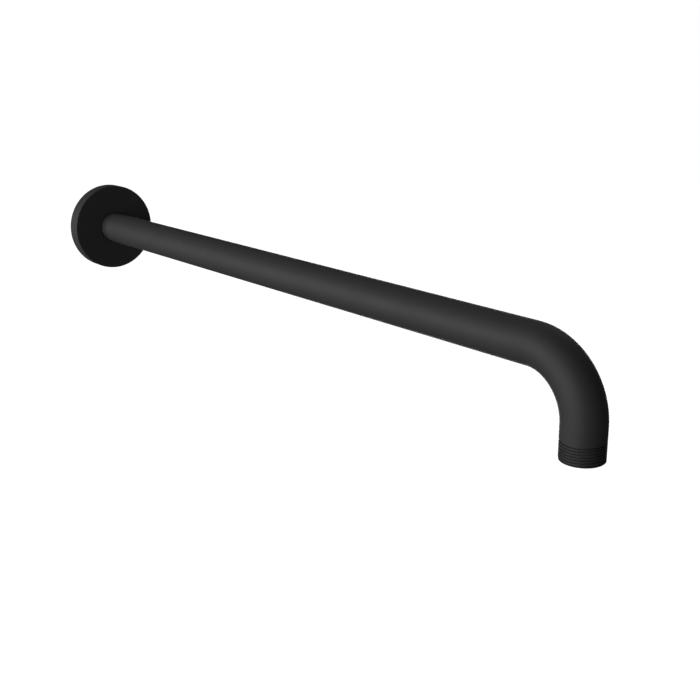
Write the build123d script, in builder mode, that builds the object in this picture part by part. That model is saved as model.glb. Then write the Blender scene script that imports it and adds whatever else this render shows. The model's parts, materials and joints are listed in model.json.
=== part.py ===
from build123d import *
import os

# A wall-mounted shower arm, in millimetres. A heavy pipe leaves the wall along +X, runs level and turns
# down through one bend to a male thread for the shower head. A hollow-backed flange runs on the pipe and
# covers the wall joint, and a rubber ring in its hub grips the pipe. The wall is the plane X = 0.

# The pipe and its bend
pipe_od = 21.0
pipe_wall = 2.5
level_run = 420.0       # wall plane to the start of the bend
bend_radius = 30.0      # of the pipe's centre line
neck_length = 6.6       # plain stretch between the bend and the outlet thread

# The male pipe threads, as cylinders over the crests, each with a run-out groove where it starts
thread_od = 20.955
outlet_thread_length = 9.4
wall_thread_length = 15.0
runout_width = 0.9
runout_depth = 0.9
thread_chamfer = 0.25
mouth_chamfer = 0.5     # on the edge of the bore at both ends

# The wall flange: a turned cup, open towards the wall, with a hub around the pipe
flange_od = 61.0
flange_depth = 10.0
face_wall = 2.5
rim_wall = 2.0
front_chamfer = 0.5     # on the front edge of the rim
recess_chamfer = 1.0    # in the two corners at the bottom of the recess
edge_break = 0.3        # chamfer on the back edge of the rim and the ends of the hub's bore
running_clearance = 0.2
hub_wall = 2.3
hub_lip = 2.0           # wall of the hub at each side of the ring's groove

# The grip ring, between the pipe and the floor of its groove
ring_height = 1.6
ring_width = 2.2
ring_chamfer = 0.35
ring_clearance = 0.04
ring_side_gap = 0.1

# Places that follow from the sizes
pipe_r = pipe_od / 2
bore_r = pipe_r - pipe_wall
thread_r = thread_od / 2
runout_r = thread_r - runout_depth
reach = level_run + bend_radius
neck_end = -bend_radius - neck_length

flange_r = flange_od / 2
recess_r = flange_r - rim_wall
recess_floor = flange_depth - face_wall
hub_bore_r = pipe_r + running_clearance
ring_inner_r = pipe_r + ring_clearance
groove_floor_r = ring_inner_r + ring_height + ring_clearance
groove_width = ring_width + 2 * ring_side_gap
hub_r = groove_floor_r + hub_wall
hub_back = flange_depth - groove_width - 2 * hub_lip
ring_centre = (flange_depth + hub_back) / 2

os.makedirs("parts", exist_ok=True)


def bent_line(behind_wall, below_neck):
    """Centre line of the arm, from a point behind the wall plane to a point below the neck."""
    with BuildLine(Plane.XZ) as line:
        FilletPolyline(
            (-behind_wall, 0),
            (reach, 0),
            (reach, neck_end - below_neck),
            radius=bend_radius,
        )
    return line.wire()


# Arm pipe: the skin is swept along the bend, a thread is turned on each end, and the bore runs through all
wall_end = Plane(origin=(0, 0, 0), z_dir=(-1, 0, 0))
outlet_end = Plane(origin=(reach, 0, neck_end), z_dir=(0, 0, -1))

with BuildPart() as arm_pipe:
    with BuildSketch(Plane.YZ):
        Circle(pipe_r)
    sweep(path=bent_line(0, 0))

    for thread_start, thread_length in (
        (wall_end, wall_thread_length),
        (outlet_end, outlet_thread_length),
    ):
        with BuildSketch(thread_start):
            Circle(runout_r)
        extrude(amount=runout_width)
        with BuildSketch(thread_start.offset(runout_width)):
            Circle(thread_r)
        extrude(amount=thread_length - runout_width)
        thread_axis = Axis(thread_start.origin, thread_start.z_dir)
        chamfer(arm_pipe.faces().sort_by(thread_axis)[-1].edges(), thread_chamfer)

    with BuildSketch(Plane.YZ.offset(-wall_thread_length)):
        Circle(bore_r)
    sweep(path=bent_line(wall_thread_length, outlet_thread_length), mode=Mode.SUBTRACT)

    for mouth in (
        wall_end.offset(wall_thread_length),
        outlet_end.offset(outlet_thread_length),
    ):
        with Locations(mouth):
            Cone(
                bore_r,
                bore_r + mouth_chamfer,
                mouth_chamfer,
                align=(Align.CENTER, Align.CENTER, Align.MAX),
                mode=Mode.SUBTRACT,
            )

arm_pipe.part.label = "arm_pipe"
export_step(arm_pipe.part, "parts/arm_pipe.step")


# Wall flange: one turned section, with the ring's groove cut in the hub
with BuildPart() as wall_flange:
    with BuildSketch(Plane.XZ) as flange_section:
        with BuildLine():
            Polyline(
                (0, recess_r),
                (0, flange_r),
                (flange_depth, flange_r),
                (flange_depth, hub_bore_r),
                (hub_back, hub_bore_r),
                (hub_back, hub_r),
                (recess_floor, hub_r),
                (recess_floor, recess_r),
                close=True,
            )
        make_face()
        chamfer(flange_section.vertices().group_by(Axis.X)[-2], recess_chamfer)
        chamfer(flange_section.vertices().group_by(Axis.Y)[-1].sort_by(Axis.X)[-1], front_chamfer)
        chamfer(flange_section.vertices().group_by(Axis.Y)[-1].sort_by(Axis.X)[0], edge_break)
        chamfer(flange_section.vertices().group_by(Axis.Y)[0], edge_break)
        with Locations((ring_centre, groove_floor_r)):
            Rectangle(
                groove_width,
                groove_floor_r,
                align=(Align.CENTER, Align.MAX),
                mode=Mode.SUBTRACT,
            )
    revolve(axis=Axis.X)

wall_flange.part.label = "wall_flange"
export_step(wall_flange.part, "parts/wall_flange.step")


# Grip ring: a square-cut rubber ring with its edges taken off
with BuildPart() as grip_ring:
    with BuildSketch(Plane.XZ) as ring_section:
        with Locations((ring_centre, ring_inner_r + ring_height / 2)):
            Rectangle(ring_width, ring_height)
        chamfer(ring_section.vertices(), ring_chamfer)
    revolve(axis=Axis.X)

grip_ring.part.label = "grip_ring"
export_step(grip_ring.part, "parts/grip_ring.step")
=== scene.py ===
import json
import math

import bpy
from bpy.props import FloatProperty, FloatVectorProperty, PointerProperty
from bpy.types import Operator, Panel, PropertyGroup
from mathutils import Matrix, Vector


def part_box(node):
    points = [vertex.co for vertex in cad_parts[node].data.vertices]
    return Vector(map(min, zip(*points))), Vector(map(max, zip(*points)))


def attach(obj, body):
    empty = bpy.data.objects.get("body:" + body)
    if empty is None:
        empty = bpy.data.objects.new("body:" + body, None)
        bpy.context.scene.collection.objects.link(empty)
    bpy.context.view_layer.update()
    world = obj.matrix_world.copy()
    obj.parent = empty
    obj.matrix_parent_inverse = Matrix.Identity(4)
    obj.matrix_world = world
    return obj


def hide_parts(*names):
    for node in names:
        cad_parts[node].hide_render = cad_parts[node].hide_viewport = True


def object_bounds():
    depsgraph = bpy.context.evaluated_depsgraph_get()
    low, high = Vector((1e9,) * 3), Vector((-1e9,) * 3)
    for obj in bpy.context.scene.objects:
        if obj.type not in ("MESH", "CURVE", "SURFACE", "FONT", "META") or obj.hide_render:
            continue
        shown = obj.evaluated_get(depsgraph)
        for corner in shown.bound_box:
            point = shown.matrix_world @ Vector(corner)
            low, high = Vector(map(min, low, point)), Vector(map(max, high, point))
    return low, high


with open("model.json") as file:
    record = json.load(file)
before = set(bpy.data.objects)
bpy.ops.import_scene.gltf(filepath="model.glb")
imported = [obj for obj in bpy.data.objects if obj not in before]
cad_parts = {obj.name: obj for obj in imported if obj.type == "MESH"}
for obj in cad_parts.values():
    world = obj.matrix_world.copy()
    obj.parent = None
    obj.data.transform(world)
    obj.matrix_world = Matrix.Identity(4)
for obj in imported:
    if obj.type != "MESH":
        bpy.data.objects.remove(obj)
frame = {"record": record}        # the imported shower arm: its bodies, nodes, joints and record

bl_info = {
    "name": "Shower Arm",
    "version": (1, 0, 0),
    "blender": (4, 5, 0),
    "location": "View3D > Sidebar > Shower Arm",
    "description": "Builds a wall-mounted shower arm: threaded pipe, flange, grip ring and a white studio",
    "category": "Add Mesh",
}

# Metres throughout. The arm leaves the wall, the plane X = 0, along +X, and its outlet points down -Z.
MM = 0.001
CAD_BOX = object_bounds()
PIPE_LOW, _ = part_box("arm_pipe")
_, FLANGE_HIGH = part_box("wall_flange")
RING_LOW, RING_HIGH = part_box("grip_ring")
OUTLET = next(mount for mount in frame["record"]["mounts"] if mount["name"] == "outlet_thread")

# How finely the turned skins are divided
PIPE_COLUMNS = 128
FLANGE_COLUMNS = 192
RING_COLUMNS = 128
THREAD_ROWS_PER_TURN = 20
BEND_ROWS = 36
LEVEL_ROWS = 14
CLOSEST_ROWS = 0.02 * MM

# How an edge is rounded: its steps, the largest part of a side that it may take, and how far from the
# corner, in reaches of the rounding, a point is held on each side to keep the flat beside it flat
ROUNDING_STEPS = 4
ROUNDING_SHARE = 0.3
HOLD_REACH = 1.5

# The band of the noise in which a finish goes from one end of its range to the other
GRAIN_LOW = 0.3
GRAIN_HIGH = 0.7

# Detail of the noise, from plain ripples to broken patches
RIPPLE_DETAIL = 2.0
SPECK_DETAIL = 3.0
CLOUD_DETAIL = 4.0
PATCH_DETAIL = 5.0

WHITE = (1.0, 1.0, 1.0, 1.0)
SOFTBOXES = ("key", "near", "rim", "behind")


def length(name, description, default):
    """A length property, in metres."""
    return FloatProperty(
        name=name,
        description=description,
        default=default,
        min=0.0,
        precision=5,
        unit="LENGTH",
        subtype="DISTANCE",
    )


def share(name, description, default):
    """A property between nothing and all."""
    return FloatProperty(
        name=name, description=description, default=default, min=0.0, max=1.0, subtype="FACTOR"
    )


def colour(name, description, default):
    """A linear colour property."""
    return FloatVectorProperty(
        name=name, description=description, default=default, size=3, min=0.0, subtype="COLOR"
    )


def place(name, description, default):
    """A point property, in metres."""
    return FloatVectorProperty(
        name=name, description=description, default=default, size=3, unit="LENGTH", subtype="TRANSLATION"
    )


def power(name, description, default):
    """A lamp's power, in watts."""
    return FloatProperty(name=name, description=description, default=default, min=0.0, unit="POWER")


def turn(name, description, degrees):
    """An angle property."""
    return FloatProperty(
        name=name, description=description, default=math.radians(degrees), subtype="ANGLE"
    )


class PipeSizes(PropertyGroup):
    """Sizes of the bent pipe and of the male thread on each end."""

    radius: length("Pipe radius", "Outside radius of the plain pipe", 10.5 * MM)
    bore_radius: length("Bore radius", "Radius of the waterway", 8.0 * MM)
    bend_radius: length("Bend radius", "Radius of the centre line in the bend", 30.0 * MM)
    neck: length("Neck", "Plain stretch between the bend and the outlet thread", 6.6 * MM)
    thread_radius: length("Thread radius", "Radius over the crests", OUTLET["dims"]["r_mm"] * MM)
    thread_pitch: length("Thread pitch", "Distance from crest to crest", 1.337 * MM)
    thread_depth: length("Thread depth", "Depth of the roots below the crests", 0.86 * MM)
    crest_share: share("Crest share", "Part of the pitch that is flat crest", 0.2)
    root_share: share("Root share", "Part of the pitch that is flat root", 0.15)
    thread_start: share("Thread start", "Where round the pipe each thread starts, in turns", 0.5)
    thread_chamfer: length("Thread chamfer", "Chamfer on the first crest", 0.25 * MM)
    mouth_chamfer: length("Mouth chamfer", "Chamfer on the edge of the bore", 0.5 * MM)
    runout_width: length("Run-out width", "Width of the groove where a thread starts", 0.9 * MM)
    runout_depth: length("Run-out depth", "Depth of that groove below the crests", 0.9 * MM)
    edge_radius: length("Edge radius", "Rounding that the coat leaves on the edges", 0.12 * MM)


class FlangeSizes(PropertyGroup):
    """Sizes of the hollow-backed cover flange and its hub."""

    radius: length("Flange radius", "Outside radius of the rim", FLANGE_HIGH.z)
    depth: length("Flange depth", "From the wall to the front face", FLANGE_HIGH.x)
    face_wall: length("Face wall", "Thickness of the front face", 2.5 * MM)
    rim_wall: length("Rim wall", "Thickness of the rim", 2.0 * MM)
    front_chamfer: length("Front chamfer", "Chamfer on the front edge of the rim", 0.5 * MM)
    recess_chamfer: length("Recess chamfer", "Chamfer in the corners of the hollow back", 1.0 * MM)
    edge_break: length("Edge break", "Chamfer on the back edge and on the hub's bore", 0.3 * MM)
    bore_radius: length("Hub bore radius", "Radius of the hole for the pipe", 10.7 * MM)
    groove_radius: length("Groove radius", "Radius of the floor of the ring's groove", 12.18 * MM)
    groove_width: length("Groove width", "Width of the ring's groove", 2.4 * MM)
    hub_radius: length("Hub radius", "Outside radius of the hub", 14.48 * MM)
    hub_lip: length("Hub lip", "Wall of the hub at each side of the groove", 2.0 * MM)
    edge_radius: length("Edge radius", "Rounding that the coat leaves on the edges", 0.14 * MM)


class RingSizes(PropertyGroup):
    """Sizes of the square-cut rubber ring in the hub."""

    back: length("Back", "Distance of the ring's back from the wall", RING_LOW.x)
    front: length("Front", "Distance of the ring's front from the wall", RING_HIGH.x)
    radius: length("Ring radius", "Outside radius of the ring", RING_HIGH.z)
    height: length("Ring height", "From the pipe's skin, which the ring meets, to the outside", 1.638 * MM)
    chamfer: length("Ring chamfer", "Bevel on the ring's four edges", 0.35 * MM)
    edge_radius: length("Edge radius", "Rounding of the moulded edges", 0.1 * MM)


class FinishSettings(PropertyGroup):
    """Colours and grain of the coat, the bare bore and the rubber."""

    coat_light: colour("Coat, light", "Matte black coat where it is lightest", (0.0240, 0.0240, 0.0240))
    coat_dark: colour("Coat, dark", "Matte black coat where it is darkest", (0.0228, 0.0228, 0.0228))
    coat_smooth: share("Coat, smoothest", "Least roughness of the coat", 0.65)
    coat_rough: share("Coat, roughest", "Most roughness of the coat", 0.68)
    coat_gloss: share("Coat gloss", "Strength of the coat's reflections", 0.35)
    cloud_size: length("Cloud size", "Width of the clouds in the coat", 18.0 * MM)
    peel_size: length("Peel size", "Width of one ripple in the sprayed coat", 0.7 * MM)
    peel_height: length("Peel height", "Height of the ripples in the sprayed coat", 0.006 * MM)
    brass_bright: colour("Brass, bright", "Bare metal of the bore where it is clean", (0.62, 0.43, 0.19))
    brass_dull: colour("Brass, dull", "Bare metal of the bore where it has dulled", (0.30, 0.19, 0.08))
    brass_smooth: share("Brass, smoothest", "Roughness of the bare metal where it is clean", 0.32)
    brass_rough: share("Brass, roughest", "Roughness of the bare metal where it has dulled", 0.55)
    patch_size: length("Patch size", "Width of the dull patches in the bore", 6.0 * MM)
    pit_size: length("Pit size", "Width of the pits in the bare metal", 0.4 * MM)
    pit_height: length("Pit height", "Height of the relief between the pits", 0.01 * MM)
    rubber_light: colour("Rubber, light", "Rubber where it is lightest", (0.016, 0.016, 0.016))
    rubber_dark: colour("Rubber, dark", "Rubber where it is darkest", (0.010, 0.010, 0.010))
    rubber_smooth: share("Rubber, smoothest", "Roughness of the rubber where it is darkest", 0.72)
    rubber_rough: share("Rubber, roughest", "Roughness of the rubber where it is lightest", 0.86)
    bloom_size: length("Bloom size", "Width of the spots of bloom on the rubber", 1.5 * MM)
    grain_size: length("Grain size", "Width of the grain of the rubber", 0.15 * MM)
    grain_height: length("Grain height", "Height of the grain of the rubber", 0.01 * MM)


class StageSettings(PropertyGroup):
    """The camera, the soft lights, the white room and the pale floor."""

    camera_place: place("Camera place", "Where the camera stands", (0.70487, -0.33330, 0.12713))
    camera_yaw: turn("Camera yaw", "Heading of the camera, from +X towards +Y", 141.261)
    camera_pitch: turn("Camera pitch", "How far the camera looks down", 16.703)
    camera_roll: turn("Camera roll", "Tilt of the camera's frame", -0.642)
    camera_lens: FloatProperty(
        name="Lens", description="Focal length, in millimetres", default=51.953, min=1.0, unit="CAMERA"
    )
    camera_clip: length("Camera clip", "Nearest distance that the camera sees", 10.0 * MM)
    key_place: place("Key place", "Where the key light stands, square to the pipe", (0.36, -1.58, 0.19))
    key_size: length("Key size", "Side of the key light", 1.2)
    key_power: power("Key power", "Power of the key light", 20.8)
    near_place: place("Near place", "Where the small light near the flange stands", (-0.15, -0.59, 0.10))
    near_size: length("Near size", "Side of the small light near the flange", 0.2)
    near_power: power("Near power", "Power of the small light near the flange", 2.05)
    rim_place: place("Rim place", "Where the light for the upper edges stands", (-0.10, 1.23, 1.03))
    rim_size: length("Rim size", "Side of the light for the upper edges", 0.5)
    rim_power: power("Rim power", "Power of the light for the upper edges", 2.2)
    behind_place: place("Behind place", "Where the light on the far side stands", (-0.60, 1.20, -0.47))
    behind_size: length("Behind size", "Side of the light on the far side", 1.2)
    behind_power: power("Behind power", "Power of the light on the far side", 40.0)
    ambient: share("Ambient", "Brightness of the room around the arm", 0.10)
    floor_drop: length("Floor drop", "How far the floor lies below the wall joint", 1.0)
    floor_size: length("Floor size", "Side of the floor", 14.0)
    floor_light: colour("Floor, light", "Floor where it is lightest", (0.92, 0.92, 0.92))
    floor_dark: colour("Floor, dark", "Floor where it is darkest", (0.88, 0.88, 0.88))
    floor_roughness: share("Floor roughness", "Roughness of the floor's paint", 0.9)
    mottle_size: length("Mottle size", "Width of the mottles in the floor's paint", 0.4)


class ShowerArmSettings(PropertyGroup):
    """All sizes, finishes and stage settings of the shower arm."""

    pipe: PointerProperty(name="Pipe", description="The bent pipe", type=PipeSizes)
    flange: PointerProperty(name="Flange", description="The cover flange", type=FlangeSizes)
    ring: PointerProperty(name="Ring", description="The grip ring", type=RingSizes)
    finish: PointerProperty(name="Finish", description="The finishes", type=FinishSettings)
    stage: PointerProperty(name="Stage", description="The studio", type=StageSettings)


def even_places(first, last, steps):
    """Evenly spaced places from first to last."""
    return [first + (last - first) * step / steps for step in range(steps + 1)]


def softened(corners, edge_radius):
    """A closed outline with each corner rounded, and a point held close on both sides of the rounding."""
    outline = []
    for index, corner in enumerate(corners):
        here = Vector(corner)
        back = Vector(corners[index - 1]) - here
        ahead = Vector(corners[(index + 1) % len(corners)]) - here
        full_reach = edge_radius / math.tan(back.angle(ahead) / 2)
        reach = min(full_reach, ROUNDING_SHARE * back.length, ROUNDING_SHARE * ahead.length)
        start = here + back.normalized() * reach
        end = here + ahead.normalized() * reach
        outline.append(here + back.normalized() * HOLD_REACH * reach)
        for part in even_places(0.0, 1.0, ROUNDING_STEPS):
            outline.append(start.lerp(here, part).lerp(here.lerp(end, part), part))
        outline.append(here + ahead.normalized() * HOLD_REACH * reach)
    return outline


def divided(outline, places_for):
    """The outline with points added at the given places along it, but none close to a point it has."""
    points = []
    for index, first in enumerate(outline):
        last = outline[(index + 1) % len(outline)]
        points.append(first)
        low, high = sorted((first.x, last.x))
        places = places_for(max(first.y, last.y))
        between = [along for along in places if low + CLOSEST_ROWS < along < high - CLOSEST_ROWS]
        for along in sorted(between, reverse=last.x < first.x):
            points.append(first.lerp(last, (along - first.x) / (last.x - first.x)))
    return points


def closed_skin(name, outline, columns, point_at, finish_at):
    """A smooth closed skin: each point of the outline becomes a ring of points, joined to the next ring."""
    points = [
        point_at(along, radius, column / columns)
        for along, radius in outline
        for column in range(columns)
    ]
    faces = []
    finishes = []
    for row, (_, radius) in enumerate(outline):
        following = (row + 1) % len(outline)
        finish = finish_at(max(radius, outline[following].y))
        for column in range(columns):
            beside = (column + 1) % columns
            faces.append((
                row * columns + column,
                row * columns + beside,
                following * columns + beside,
                following * columns + column,
            ))
            finishes.append(finish)
    mesh = bpy.data.meshes.new(name)
    mesh.from_pydata(points, [], faces)
    mesh.polygons.foreach_set("material_index", finishes)
    mesh.shade_smooth()
    if mesh.validate():
        raise RuntimeError(f"the skin of {name} has faces that Blender can't keep")
    piece = bpy.data.objects.new(name, mesh)
    bpy.context.scene.collection.objects.link(piece)
    return piece


def about_wall_axis(along, radius, turns):
    """A point on a ring about the pipe's level axis."""
    angle = 2 * math.pi * turns
    return Vector((along, radius * math.cos(angle), radius * math.sin(angle)))


class PipeLine:
    """The arm's centre line, by distance from the wall plane, and the ends of its bend, neck and tips."""

    def __init__(self, sizes):
        self.bend_radius = sizes.bend_radius
        self.bend_start = OUTLET["pos_m"][0] - sizes.bend_radius
        self.bend_end = self.bend_start + sizes.bend_radius * math.pi / 2
        self.neck_end = self.bend_end + sizes.neck
        self.wall_tip = PIPE_LOW.x
        self.outlet_tip = self.bend_end - PIPE_LOW.z - sizes.bend_radius

    def point(self, along, radius, turns):
        """A point at that distance along the line, that far from it, round from the +Y side."""
        angle = 2 * math.pi * turns
        bent = min(max((along - self.bend_start) / self.bend_radius, 0.0), math.pi / 2)
        outward = Vector((math.sin(bent), 0, math.cos(bent)))
        centre = Vector((self.bend_start, 0, -self.bend_radius)) + outward * self.bend_radius
        forward = Vector((math.cos(bent), 0, -math.sin(bent)))
        centre += forward * (along - self.bend_start - bent * self.bend_radius)
        return centre + radius * (math.cos(angle) * Vector((0, 1, 0)) + math.sin(angle) * outward)


class Thread:
    """A male thread, from the groove where the plain pipe ends to the pipe's tip."""

    def __init__(self, sizes, pipe_end, tip):
        self.sizes = sizes
        self.pipe_end = pipe_end
        self.tip = tip
        self.length = abs(tip - pipe_end)
        self.direction = math.copysign(1.0, tip - pipe_end)
        self.start = pipe_end + self.direction * sizes.runout_width

    def places(self):
        """Places along the thread, with the same number of them in each turn."""
        turns = abs(self.tip - self.start) / self.sizes.thread_pitch
        return even_places(self.start, self.tip, math.ceil(turns * THREAD_ROWS_PER_TURN))

    def depth(self, helix_turns):
        """Depth below the crests, that many turns along the helix, with flanks that ease in and out."""
        sizes = self.sizes
        from_crest = abs((helix_turns + 0.5) % 1.0 - 0.5)
        flank_start = sizes.crest_share / 2
        flank_end = 0.5 - sizes.root_share / 2
        part = min(max((from_crest - flank_start) / (flank_end - flank_start), 0.0), 1.0)
        return sizes.thread_depth * part * part * (3 - 2 * part)

    def cut(self, along, radius, turns):
        """The radius of a point of the turned blank once the helix is cut, which opens both of its ends."""
        sizes = self.sizes
        from_pipe = (along - self.pipe_end) * self.direction
        if from_pipe < sizes.runout_width - 2 * sizes.edge_radius:
            return radius        # the plain pipe and the run-out groove
        near_tip = from_pipe > self.length / 2
        runout = sizes.thread_radius - sizes.runout_depth
        floor = sizes.bore_radius + sizes.mouth_chamfer if near_tip else runout
        if radius < floor:
            return radius        # the bore and its mouth, or the floor of the groove
        blank = sizes.thread_radius - max(from_pipe - self.length + sizes.thread_chamfer, 0.0)
        helix_turns = (along - self.pipe_end) / sizes.thread_pitch - turns + sizes.thread_start
        left = min(sizes.thread_radius - self.depth(helix_turns), blank)
        return floor + (radius - floor) * (left - floor) / (blank - floor)


def pipe_corners(sizes, line):
    """Corners of the pipe's wall as (along, radius): out along the skin, and back along the bore."""
    runout = sizes.thread_radius - sizes.runout_depth
    wall_thread_end = -sizes.runout_width
    outlet_thread_start = line.neck_end + sizes.runout_width
    return [
        (line.wall_tip, sizes.thread_radius - sizes.thread_chamfer),
        (line.wall_tip + sizes.thread_chamfer, sizes.thread_radius),
        (wall_thread_end, sizes.thread_radius),
        (wall_thread_end, runout),
        (0.0, runout),
        (0.0, sizes.radius),
        (line.neck_end, sizes.radius),
        (line.neck_end, runout),
        (outlet_thread_start, runout),
        (outlet_thread_start, sizes.thread_radius),
        (line.outlet_tip - sizes.thread_chamfer, sizes.thread_radius),
        (line.outlet_tip, sizes.thread_radius - sizes.thread_chamfer),
        (line.outlet_tip, sizes.bore_radius + sizes.mouth_chamfer),
        (line.outlet_tip - sizes.mouth_chamfer, sizes.bore_radius),
        (line.wall_tip + sizes.mouth_chamfer, sizes.bore_radius),
        (line.wall_tip, sizes.bore_radius + sizes.mouth_chamfer),
    ]


def flange_corners(sizes):
    """Corners of the flange's section as (distance from the wall, radius), from the back of the rim on."""
    recess_radius = sizes.radius - sizes.rim_wall
    recess_floor = sizes.depth - sizes.face_wall
    groove_front = sizes.depth - sizes.hub_lip
    groove_back = groove_front - sizes.groove_width
    hub_back = groove_back - sizes.hub_lip
    return [
        (0.0, sizes.radius - sizes.edge_break),
        (sizes.edge_break, sizes.radius),
        (sizes.depth - sizes.front_chamfer, sizes.radius),
        (sizes.depth, sizes.radius - sizes.front_chamfer),
        (sizes.depth, sizes.bore_radius + sizes.edge_break),
        (sizes.depth - sizes.edge_break, sizes.bore_radius),
        (groove_front, sizes.bore_radius),
        (groove_front, sizes.groove_radius),
        (groove_back, sizes.groove_radius),
        (groove_back, sizes.bore_radius),
        (hub_back + sizes.edge_break, sizes.bore_radius),
        (hub_back, sizes.bore_radius + sizes.edge_break),
        (hub_back, sizes.hub_radius),
        (recess_floor - sizes.recess_chamfer, sizes.hub_radius),
        (recess_floor, sizes.hub_radius + sizes.recess_chamfer),
        (recess_floor, recess_radius - sizes.recess_chamfer),
        (recess_floor - sizes.recess_chamfer, recess_radius),
        (0.0, recess_radius),
    ]


def ring_corners(sizes):
    """Corners of the ring's section as (distance from the wall, radius)."""
    inside = sizes.radius - sizes.height
    bevel = sizes.chamfer
    return [
        (sizes.back + bevel, sizes.radius),
        (sizes.front - bevel, sizes.radius),
        (sizes.front, sizes.radius - bevel),
        (sizes.front, inside + bevel),
        (sizes.front - bevel, inside),
        (sizes.back + bevel, inside),
        (sizes.back, inside + bevel),
        (sizes.back, sizes.radius - bevel),
    ]


def add_node(tree, kind, inputs):
    """A shader node with its inputs set or linked."""
    node = tree.nodes.new(kind)
    for socket, value in inputs.items():
        if isinstance(value, bpy.types.NodeSocket):
            tree.links.new(value, node.inputs[socket])
        else:
            node.inputs[socket].default_value = value
    return node


def new_surface(name):
    """A new material, its node tree, its surface shader and the object's own coordinates."""
    material = bpy.data.materials.new(name)
    material.use_nodes = True
    tree = material.node_tree
    coordinates = add_node(tree, "ShaderNodeTexCoord", {}).outputs["Object"]
    return material, tree, tree.nodes["Principled BSDF"], coordinates


def noise(tree, coordinates, width, detail):
    """Cloudy grain whose spots are about that wide."""
    inputs = {"Vector": coordinates, "Scale": 1 / width, "Detail": detail}
    return add_node(tree, "ShaderNodeTexNoise", inputs).outputs["Fac"]


def between_colours(tree, amount, first, last):
    """A colour that goes from first to last with the grain."""
    ramp = add_node(tree, "ShaderNodeValToRGB", {"Fac": amount})
    start, end = ramp.color_ramp.elements
    start.position = GRAIN_LOW
    start.color = (*first, 1.0)
    end.position = GRAIN_HIGH
    end.color = (*last, 1.0)
    return ramp.outputs["Color"]


def between_values(tree, amount, first, last):
    """A value that goes from first to last with the grain."""
    inputs = {
        "Value": amount,
        "From Min": GRAIN_LOW,
        "From Max": GRAIN_HIGH,
        "To Min": first,
        "To Max": last,
    }
    return add_node(tree, "ShaderNodeMapRange", inputs).outputs["Result"]


def grained_surface(name, clouds, colours, roughness, relief, height):
    """A material and its shader: colour and roughness drift in clouds, over a relief of that height.

    Clouds and relief are given as (width, detail), colours and roughness as the two ends of their range.
    """
    material, tree, shader, coordinates = new_surface(name)
    cloud = noise(tree, coordinates, *clouds)
    ripple = noise(tree, coordinates, *relief)
    bump = add_node(tree, "ShaderNodeBump", {"Height": ripple, "Strength": 1.0, "Distance": height})
    tree.links.new(between_colours(tree, cloud, *colours), shader.inputs["Base Color"])
    tree.links.new(between_values(tree, cloud, *roughness), shader.inputs["Roughness"])
    tree.links.new(bump.outputs["Normal"], shader.inputs["Normal"])
    return material, shader


def black_coat(finish):
    """Matte black sprayed coat: a faint ripple, and clouds of slightly different black and gloss."""
    material, shader = grained_surface(
        "matte_black_coat",
        clouds=(finish.cloud_size, CLOUD_DETAIL),
        colours=(finish.coat_dark, finish.coat_light),
        roughness=(finish.coat_rough, finish.coat_smooth),
        relief=(finish.peel_size, RIPPLE_DETAIL),
        height=finish.peel_height,
    )
    shader.inputs["Specular IOR Level"].default_value = finish.coat_gloss
    return material


def bare_brass(finish):
    """Bare drawn metal of the bore, dulled in patches by water."""
    material, shader = grained_surface(
        "bare_brass_bore",
        clouds=(finish.patch_size, PATCH_DETAIL),
        colours=(finish.brass_dull, finish.brass_bright),
        roughness=(finish.brass_rough, finish.brass_smooth),
        relief=(finish.pit_size, SPECK_DETAIL),
        height=finish.pit_height,
    )
    shader.inputs["Metallic"].default_value = 1.0
    return material


def ring_rubber(finish):
    """Dull moulded rubber with a fine bloom."""
    material, _ = grained_surface(
        "dull_ring_rubber",
        clouds=(finish.bloom_size, CLOUD_DETAIL),
        colours=(finish.rubber_dark, finish.rubber_light),
        roughness=(finish.rubber_smooth, finish.rubber_rough),
        relief=(finish.grain_size, RIPPLE_DETAIL),
        height=finish.grain_height,
    )
    return material


def settle(piece, body, node, slot, *materials):
    """Gives a piece its finishes and its body, and hides the solid it stands for. The slot is not used."""
    for material in materials:
        piece.data.materials.append(material)
    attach(piece, body)
    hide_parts(node)


class SHOWERARM_OT_pipe(Operator):
    """Bent pipe with a turned thread on each end and a bare bore"""

    bl_idname = "shower_arm.pipe"
    bl_label = "Threaded Pipe"

    def execute(self, context):
        settings = context.scene.shower_arm
        sizes = settings.pipe
        line = PipeLine(sizes)
        wall_thread = Thread(sizes, 0.0, line.wall_tip)
        outlet_thread = Thread(sizes, line.neck_end, line.outlet_tip)
        line_places = even_places(0.0, line.bend_start, LEVEL_ROWS)
        line_places += even_places(line.bend_start, line.bend_end, BEND_ROWS)[1:]
        skin_places = line_places + wall_thread.places() + outlet_thread.places()
        bore_edge = sizes.bore_radius + sizes.mouth_chamfer - sizes.edge_radius

        def places_for(radius):
            return line_places if radius < bore_edge else skin_places

        def point_at(along, radius, turns):
            thread = outlet_thread if along > line.bend_start else wall_thread
            return line.point(along, thread.cut(along, radius, turns), turns)

        def finish_at(radius):
            return int(radius < bore_edge)

        outline = divided(softened(pipe_corners(sizes, line), sizes.edge_radius), places_for)
        piece = closed_skin("threaded_pipe", outline, PIPE_COLUMNS, point_at, finish_at)
        finishes = black_coat(settings.finish), bare_brass(settings.finish)
        settle(piece, "arm", "arm_pipe", "pipe_coat", *finishes)
        return {"FINISHED"}


class SHOWERARM_OT_flange(Operator):
    """Round cover flange with a hollow back and a hub that runs on the pipe"""

    bl_idname = "shower_arm.flange"
    bl_label = "Cover Flange"

    def execute(self, context):
        settings = context.scene.shower_arm
        outline = softened(flange_corners(settings.flange), settings.flange.edge_radius)
        piece = closed_skin("cover_flange", outline, FLANGE_COLUMNS, about_wall_axis, lambda radius: 0)
        settle(piece, "flange", "wall_flange", "flange_coat", black_coat(settings.finish))
        return {"FINISHED"}


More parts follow.
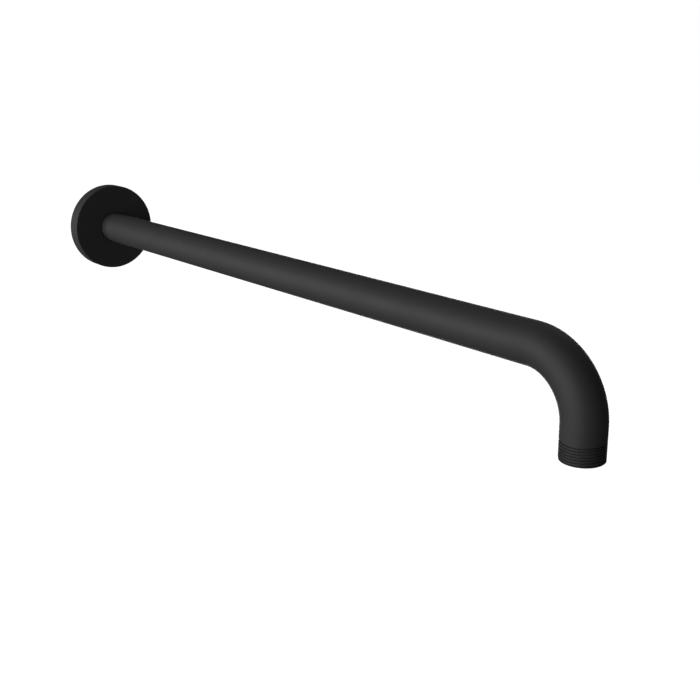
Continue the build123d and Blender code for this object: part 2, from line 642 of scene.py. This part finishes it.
class SHOWERARM_OT_ring(Operator):
    """Square-cut rubber ring that grips the pipe inside the flange's hub"""

    bl_idname = "shower_arm.ring"
    bl_label = "Grip Ring"

    def execute(self, context):
        settings = context.scene.shower_arm
        outline = softened(ring_corners(settings.ring), settings.ring.edge_radius)
        piece = closed_skin("hub_ring", outline, RING_COLUMNS, about_wall_axis, lambda radius: 0)
        settle(piece, "ring", "grip_ring", "ring_rubber", ring_rubber(settings.finish))
        return {"FINISHED"}


def add_soft_light(name, spot, size, watts, target):
    """A square soft light that faces the target."""
    light = bpy.data.lights.new(name, "AREA")
    light.shape = "SQUARE"
    light.size = size
    light.energy = watts
    lamp = bpy.data.objects.new(name, light)
    lamp.location = spot
    lamp.rotation_euler = (Vector(target) - Vector(spot)).to_track_quat("-Z", "Y").to_euler()
    bpy.context.scene.collection.objects.link(lamp)


def add_camera(stage):
    """The camera, from its place, heading, pitch and roll."""
    yaw, pitch = stage.camera_yaw, stage.camera_pitch
    forward = Vector((
        math.cos(pitch) * math.cos(yaw),
        math.cos(pitch) * math.sin(yaw),
        -math.sin(pitch),
    ))
    level = forward.cross(Vector((0, 0, 1))).normalized()
    upright = level.cross(forward)
    right = math.cos(stage.camera_roll) * level + math.sin(stage.camera_roll) * upright
    up = right.cross(forward)
    lens = bpy.data.cameras.new("arm_camera")
    lens.lens = stage.camera_lens
    lens.clip_start = stage.camera_clip
    camera = bpy.data.objects.new("arm_camera", lens)
    axes = Matrix((right, up, -forward)).transposed().to_4x4()
    camera.matrix_world = Matrix.Translation(stage.camera_place) @ axes
    bpy.context.scene.collection.objects.link(camera)
    bpy.context.scene.camera = camera


def add_floor(stage):
    """A wide white floor, far below the arm, that neither lights it nor shows in its gloss."""
    half = stage.floor_size / 2
    corners = [(-half, -half), (half, -half), (half, half), (-half, half)]
    mesh = bpy.data.meshes.new("pale_floor")
    mesh.from_pydata([(x, y, -stage.floor_drop) for x, y in corners], [], [(0, 1, 2, 3)])
    floor = bpy.data.objects.new("pale_floor", mesh)
    floor.visible_diffuse = False
    floor.visible_glossy = False
    bpy.context.scene.collection.objects.link(floor)
    material, tree, shader, coordinates = new_surface("pale_floor_paint")
    mottle = noise(tree, coordinates, stage.mottle_size, SPECK_DETAIL)
    paint = between_colours(tree, mottle, stage.floor_dark, stage.floor_light)
    tree.links.new(paint, shader.inputs["Base Color"])
    shader.inputs["Roughness"].default_value = stage.floor_roughness
    shader.inputs["Emission Color"].default_value = WHITE
    shader.inputs["Emission Strength"].default_value = 1.0
    mesh.materials.append(material)


def add_room(stage):
    """A room that looks white, and lights the arm only dimly."""
    world = bpy.data.worlds.new("white_room")
    world.use_nodes = True
    tree = world.node_tree
    tree.nodes.clear()
    seen = add_node(tree, "ShaderNodeBackground", {"Color": WHITE, "Strength": 1.0})
    dim = add_node(tree, "ShaderNodeBackground", {"Color": WHITE, "Strength": stage.ambient})
    path = add_node(tree, "ShaderNodeLightPath", {})
    mix = add_node(tree, "ShaderNodeMixShader", {
        "Fac": path.outputs["Is Camera Ray"],
        1: dim.outputs["Background"],
        2: seen.outputs["Background"],
    })
    add_node(tree, "ShaderNodeOutputWorld", {"Surface": mix.outputs["Shader"]})
    bpy.context.scene.world = world


class SHOWERARM_OT_stage(Operator):
    """Camera, soft lights, white room and pale floor"""

    bl_idname = "shower_arm.stage"
    bl_label = "White Studio"

    def execute(self, context):
        stage = context.scene.shower_arm.stage
        target = (CAD_BOX[0] + CAD_BOX[1]) / 2
        add_camera(stage)
        for side in SOFTBOXES:
            spot = getattr(stage, f"{side}_place")
            size = getattr(stage, f"{side}_size")
            watts = getattr(stage, f"{side}_power")
            add_soft_light(f"{side}_light", spot, size, watts, target)
        add_floor(stage)
        add_room(stage)
        context.scene.view_settings.view_transform = "Standard"
        return {"FINISHED"}


class SHOWERARM_PT_sidebar(Panel):
    """Steps that build the shower arm, in order, and all its settings"""

    bl_idname = "SHOWERARM_PT_sidebar"
    bl_label = "Shower Arm"
    bl_space_type = "VIEW_3D"
    bl_region_type = "UI"
    bl_category = "Shower Arm"

    def draw(self, context):
        column = self.layout.column(align=True)
        for step in STEPS:
            column.operator(step.bl_idname)
        for group in ShowerArmSettings.__annotations__:
            settings = getattr(context.scene.shower_arm, group)
            box = self.layout.box()
            for name in settings.__annotations__:
                box.prop(settings, name)


STEPS = (SHOWERARM_OT_pipe, SHOWERARM_OT_flange, SHOWERARM_OT_ring, SHOWERARM_OT_stage)
GROUPS = (PipeSizes, FlangeSizes, RingSizes, FinishSettings, StageSettings, ShowerArmSettings)
CLASSES = (*GROUPS, *STEPS, SHOWERARM_PT_sidebar)


def register():
    """Adds the classes, and the settings to every scene."""
    for cls in CLASSES:
        bpy.utils.register_class(cls)
    bpy.types.Scene.shower_arm = PointerProperty(
        name="Shower arm", description="Settings of the shower arm", type=ShowerArmSettings
    )


def unregister():
    """Takes the settings and the classes away again."""
    del bpy.types.Scene.shower_arm
    for cls in reversed(CLASSES):
        bpy.utils.unregister_class(cls)


def main():
    """Builds the pieces and the stage."""
    register()
    bpy.ops.shower_arm.pipe()
    bpy.ops.shower_arm.flange()
    bpy.ops.shower_arm.ring()
    bpy.ops.shower_arm.stage()


if __name__ == "__main__":
    main()
